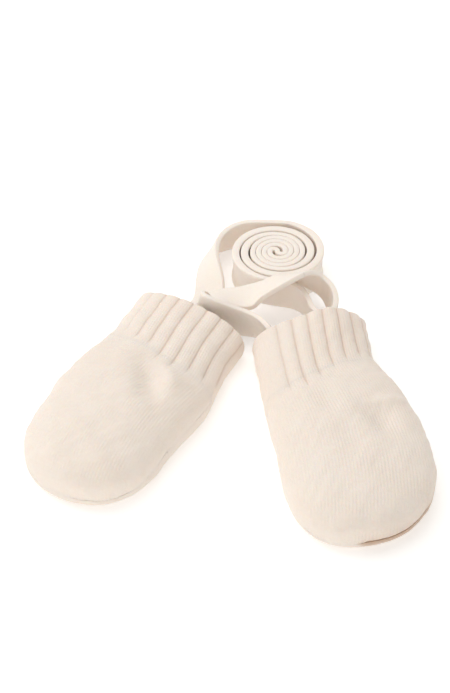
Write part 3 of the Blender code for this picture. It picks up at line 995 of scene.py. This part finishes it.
LEFT_ROUTE = soften(run_route(1, LEFT_RUN_LEAVES, False, LEFT_RUN))
RIGHT_ROUTE = soften(run_route(2, RIGHT_RUN_LEAVES, True, RIGHT_RUN))
SPLIT = lengths_of(RIGHT_ROUTE, 2)[-1] * ARCH_SHARE
STRAP_ROUTES = {
    "strap_coil": np.vstack([
        coil_arm(1, LEFT_RUN_LEAVES, False, COIL_STEP)[::-1],
        coil_arm(2, RIGHT_RUN_LEAVES, True, COIL_STEP)[1:],
    ]),
    "strap_left_run": cut_route(LEFT_ROUTE, PIECE_GAP, None),
    "strap_right_arch": cut_route(RIGHT_ROUTE, PIECE_GAP, SPLIT),
    "strap_right_return": cut_route(RIGHT_ROUTE, SPLIT + PIECE_GAP, None),
}
for part, route in STRAP_ROUTES.items():
    print(part, "is", round(lengths_of(route, 2)[-1]), "mm along")

# %% [markdown]
# ## Sweeping the band
# The section is an oblong with soft corners, a little thicker at the edges,
# where a knitted band curls. In the loose outer turns of the roll it is thicker
# still. Lengthwise columns of stitches cover both faces. The grid wraps round
# the section and runs along the route, and one face closes each end.

# %% Section of the band
ALONG_STEP = 0.55
BAND_COLUMNS = 6
POINTS_PER_COLUMN = 4
EDGE_POINTS = 10
EDGE_SQUARENESS = 6.0
BAND_STITCH = 1.7
BAND_RELIEF = 0.5
EDGE_SWELL = 0.17
EDGE_SWELL_WIDTH = 1.6
LOOSE_SWELL = 0.5
LOOSE_FROM = (13.3, 15.9)
LOOSE_FADE = 14.0
BAND_WELD = 1e-7


def loose_swell(name, route):
    """How much thicker the edges are at each place: the loose outer turns of
    the roll are less stretched than the rest, so that their edges curl more."""
    if name != "strap_coil":
        return np.zeros(len(route))
    from_heart = np.linalg.norm(route[:, :2] - np.array(COIL_CENTRE), axis=1)
    lengths = lengths_of(route, 2)
    to_end = np.minimum(lengths, lengths[-1] - lengths)
    return LOOSE_SWELL * smooth_step(*LOOSE_FROM, from_heart) * smooth_step(0.0, LOOSE_FADE, to_end)


def band_section():
    """Outline of the band as places across its width and through it, and which
    way is out at each of them."""
    thin = STRAP_THICKNESS / 2
    straight = STRAP_WIDTH / 2 - thin
    flat = np.linspace(straight, -straight, BAND_COLUMNS * POINTS_PER_COLUMN + 1)
    swell = EDGE_SWELL * np.exp(-((straight - np.abs(flat)) / EDGE_SWELL_WIDTH) ** 2)
    face = np.stack([flat, thin + swell], axis=1)
    face_out = np.tile([0.0, 1.0], (len(flat), 1))
    turn = np.linspace(0.0, math.pi, EDGE_POINTS + 1)[1:-1]
    sine = np.sin(turn) ** (2.0 / EDGE_SQUARENESS)
    cosine = np.sign(np.cos(turn)) * np.abs(np.cos(turn)) ** (2.0 / EDGE_SQUARENESS)
    around = np.stack([-sine, cosine], axis=1)
    edge = around * (thin + EDGE_SWELL) + np.array([-straight, 0.0])
    outline = np.vstack([face, edge])
    out = np.vstack([face_out, around / np.linalg.norm(around, axis=1, keepdims=True)])
    return np.vstack([outline, -outline]), np.vstack([out, -out])


def band_frames(route):
    """Centre, width direction and thickness direction at each place."""
    lean = np.radians(route[:, 3])
    rise = STRAP_WIDTH / 2 * np.abs(np.cos(lean)) + STRAP_THICKNESS / 2 * np.abs(np.sin(lean))
    centre = np.stack([route[:, 0], route[:, 1], route[:, 2] + rise], axis=1)
    along = np.gradient(centre, axis=0)
    along = along / np.linalg.norm(along, axis=1, keepdims=True)
    upward = np.array([0.0, 0.0, 1.0]) - along * along[:, 2:]
    upward = upward / np.linalg.norm(upward, axis=1, keepdims=True)
    right = np.cross(along, upward)
    width = upward * np.cos(lean)[:, None] + right * np.sin(lean)[:, None]
    return centre, width, np.cross(along, width)


print("points round the band:", len(band_section()[0]))

# %% Strap pieces
def strap_piece(name, route):
    lengths = lengths_of(route, 2)
    total = lengths[-1]
    wanted = np.linspace(0.0, total, round(total / ALONG_STEP))
    route = np.stack([np.interp(wanted, lengths, route[:, c]) for c in range(4)], axis=1)
    centre, width, through = band_frames(route)
    outline, out = band_section()
    run = lengths_of(centre, 3)
    columns = outline[:, 0] / (STRAP_WIDTH - STRAP_THICKNESS) * BAND_COLUMNS
    knit = stitch_height(columns[None, :], run[:, None] / BAND_STITCH)
    rise = BAND_RELIEF * (knit - STRAND_RELIEF - RIPPLE_RELIEF)
    near_edge = np.abs(outline[:, 0]) - (STRAP_WIDTH - STRAP_THICKNESS) / 2
    curled = np.exp(-(np.minimum(near_edge, 0.0) / EDGE_SWELL_WIDTH) ** 2)
    thicker = loose_swell(name, route)[:, None] * curled[None, :] * np.sign(outline[:, 1])
    marks = np.stack([
        np.broadcast_to(columns, rise.shape),
        np.broadcast_to(run[:, None] / BAND_STITCH, rise.shape),
        np.zeros(rise.shape),
    ], axis=-1)
    moved = outline[None, :, :] + out[None, :, :] * rise[..., None]
    moved[..., 1] += thicker * np.minimum(1.0, np.abs(outline[:, 1]) / (STRAP_THICKNESS / 2))
    places = (
        centre[:, None, :]
        + width[:, None, :] * moved[..., :1]
        + through[:, None, :] * moved[..., 1:]
    )
    places[..., 2] = np.maximum(places[..., 2], LOWEST)
    places = places - np.array([PAIR_MIDDLE[0], PAIR_MIDDLE[1], 0.0])
    places = np.concatenate([places, places[:, :1]], axis=1)
    marks = np.concatenate([marks, marks[:, :1]], axis=1)
    mesh = new_cloth_mesh()
    grid_cloth(mesh, places, marks)
    bmesh.ops.remove_doubles(mesh, verts=mesh.verts, dist=BAND_WELD)
    ends = [edge for edge in mesh.edges if edge.is_boundary]
    bmesh.ops.holes_fill(mesh, edges=ends, sides=0)
    bmesh.ops.recalc_face_normals(mesh, faces=mesh.faces)
    piece = finish_piece(name + "_knit", mesh, BAND_WOOL)
    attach(piece, "root")
    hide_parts(name)
    print(name, "is", round(float(run[-1])), "mm of band")


for part, route in STRAP_ROUTES.items():
    strap_piece(part, route)

# %% [markdown]
# ## Table and light
# The mittens lie on a pale table that glows a little, as a light table does, so
# that the shadows under them stay faint. The main light is big and soft and
# comes from above. Weaker ones from the left and from the near left leave the
# right sides in shade, and a pale, faintly warm world gives the rest. A small
# strong light would give hard shadows, which make wool look like clay.

# %% Floor and lights
FLOOR_SIZE = 3.0
FLOOR_FACES = 8
FLOOR_ROUGHNESS = 0.9
FLOOR_COLOUR = (0.93, 0.93, 0.925, 1.0)
FLOOR_GLOW = 0.30
WORLD_COLOUR = (1.0, 0.985, 0.955, 1.0)
WORLD_STRENGTH = 0.58
# Columns: name, direction that it comes from, distance, size, strength
LIGHTS = (
    ("side", (-0.80, 0.35, 0.62), 1.1, 0.6, 1.9),
    ("top", (-0.15, 0.35, 0.95), 1.3, 1.2, 5.7),
    ("front", (-0.45, -0.85, 0.40), 1.1, 0.7, 1.8),
)


def make_floor():
    mesh = bmesh.new()
    bmesh.ops.create_grid(mesh, x_segments=FLOOR_FACES, y_segments=FLOOR_FACES, size=FLOOR_SIZE / 2)
    data = bpy.data.meshes.new("floor")
    mesh.to_mesh(data)
    mesh.free()
    floor = bpy.data.objects.new("floor", data)
    bpy.context.scene.collection.objects.link(floor)
    paint = bpy.data.materials.new("pale_table")
    paint.use_nodes = True
    shader = paint.node_tree.nodes["Principled BSDF"]
    shader.inputs["Base Color"].default_value = FLOOR_COLOUR
    shader.inputs["Roughness"].default_value = FLOOR_ROUGHNESS
    shader.inputs["Emission Color"].default_value = FLOOR_COLOUR
    shader.inputs["Emission Strength"].default_value = FLOOR_GLOW
    data.materials.append(paint)


def make_lights():
    world = bpy.data.worlds.new("pale_room")
    world.use_nodes = True
    sky = world.node_tree.nodes["Background"]
    sky.inputs["Color"].default_value = WORLD_COLOUR
    sky.inputs["Strength"].default_value = WORLD_STRENGTH
    bpy.context.scene.world = world
    for name, direction, distance, size, strength in LIGHTS:
        lamp = bpy.data.lights.new(name, "AREA")
        lamp.shape = "DISK"
        lamp.size = size
        lamp.energy = strength
        light = bpy.data.objects.new(name, lamp)
        towards = Vector(direction).normalized()
        light.location = towards * distance
        light.rotation_euler = towards.to_track_quat("Z", "Y").to_euler()
        bpy.context.scene.collection.objects.link(light)
    bpy.context.scene.view_settings.view_transform = "Standard"


make_floor()
make_lights()
print("lights:", ", ".join(row[0] for row in LIGHTS))
